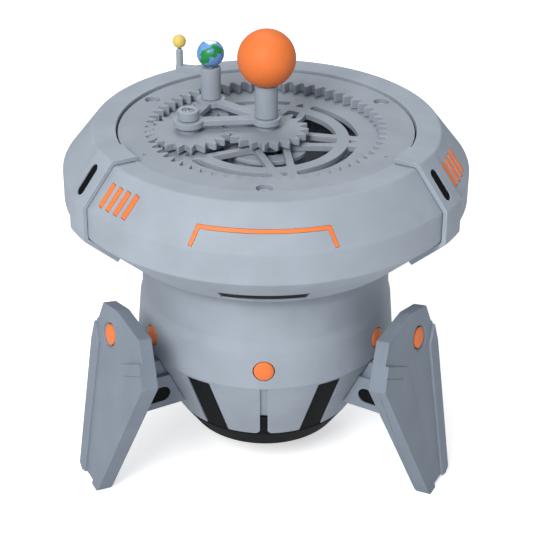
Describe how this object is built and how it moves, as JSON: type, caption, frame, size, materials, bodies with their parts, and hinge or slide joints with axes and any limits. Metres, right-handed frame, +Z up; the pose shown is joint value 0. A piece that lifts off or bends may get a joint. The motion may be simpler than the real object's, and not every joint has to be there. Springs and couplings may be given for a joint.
{
  "type": "orrery",
  "caption": "Desktop orrery on three legs: driven sun gear, planet gear in a fixed ring gear, Earth post and a turning Moon arm above a drum-shaped body.",
  "frame": {"origin": "on the floor under the sun axis, at the level of the flat feet", "axes": "+Z up along the sun axis, -Y towards the front of the object, +X to its right seen from the front"},
  "size_m": [0.158, 0.1604, 0.1806],
  "materials": {
    "grey_print": "matt blue-grey plastic",
    "orange_print": "satin orange plastic",
    "black_print": "matt black plastic",
    "steel": "bright turned steel",
    "earth_paint": "blue ball with green land and white poles",
    "moon_paint": "satin yellow",
    "motor_can": "dull grey motor can",
    "cell_wrap": "dark cell wrap"
  },
  "bodies": {
    "base": {"housing_shell": "grey_print", "clamp_band_left": "grey_print", "clamp_band_right": "grey_print", "clamp_band_back": "grey_print", "slot_insert_left": "black_print", "slot_insert_right": "black_print", "slot_insert_back": "black_print", "stripe_inlay_left": "orange_print", "stripe_inlay_right": "orange_print", "stripe_inlay_back": "orange_print", "bracket_inlay": "orange_print", "light_slot_front": "black_print", "light_slot_right": "black_print", "light_slot_left": "black_print", "ring_gear_plate": "grey_print", "star_grille": "grey_print", "plate_screw_front": "grey_print", "plate_screw_right": "grey_print", "plate_screw_left": "grey_print", "body_shell": "grey_print", "body_plug_front": "orange_print", "body_plug_front_right": "orange_print", "body_plug_back_right": "orange_print", "body_plug_back": "orange_print", "body_plug_back_left": "orange_print", "body_plug_front_left": "orange_print", "base_core": "black_print", "leg_left": "grey_print", "leg_right": "grey_print", "leg_back": "grey_print", "leg_plug_left": "orange_print", "leg_plug_right": "orange_print", "leg_plug_back": "orange_print", "leg_bracket_left": "grey_print", "leg_bracket_right": "grey_print", "leg_bracket_back": "grey_print", "sun_bearing": "black_print", "motor_mount": "grey_print", "gear_motor": "motor_can", "battery_box": "black_print", "battery_front": "cell_wrap", "battery_back": "cell_wrap"},
    "carrier": {"carrier": "grey_print", "planet_axle": "steel", "planet_cap": "grey_print", "planet_screw": "steel", "earth_spindle": "steel", "earth_ball": "earth_paint"},
    "sun_drive": {"sun_gear": "grey_print", "sun_post": "grey_print", "sun_ball": "orange_print", "shaft_coupler": "steel", "motor_shaft": "steel"},
    "planet": {"planet_gear": "grey_print"},
    "moon": {"moon_gear": "grey_print", "moon_arm": "grey_print", "moon_ball": "moon_paint"},
    "switch": {"power_switch": "orange_print"}
  },
  "joints": [
    {"name": "carrier_spin", "type": "hinge", "parent": "base", "child": "carrier", "pos_m": [0, 0, 0.1443], "axis": [0, 0, 1], "continuous": true},
    {"name": "sun_spin", "type": "hinge", "parent": "base", "child": "sun_drive", "pos_m": [0, 0, 0.141], "axis": [0, 0, 1], "continuous": true},
    {"name": "planet_spin", "type": "hinge", "parent": "carrier", "child": "planet", "pos_m": [-0.02982, -0.00324, 0.141], "axis": [0, 0, 1], "continuous": true},
    {"name": "moon_spin", "type": "hinge", "parent": "carrier", "child": "moon", "pos_m": [-0.02207, 0.01788, 0.141], "axis": [0, 0, 1], "continuous": true},
    {"name": "switch_slide", "type": "slide", "parent": "base", "child": "switch", "axis": [1, 0, 0], "range_m": [0, 0.003]}
  ],
  "couplings": [
    {"joint": "carrier_spin", "follows": "sun_spin", "ratio": 0.25},
    {"joint": "planet_spin", "follows": "sun_spin", "ratio": -0.75},
    {"joint": "moon_spin", "follows": "sun_spin", "ratio": 1.5}
  ]
}
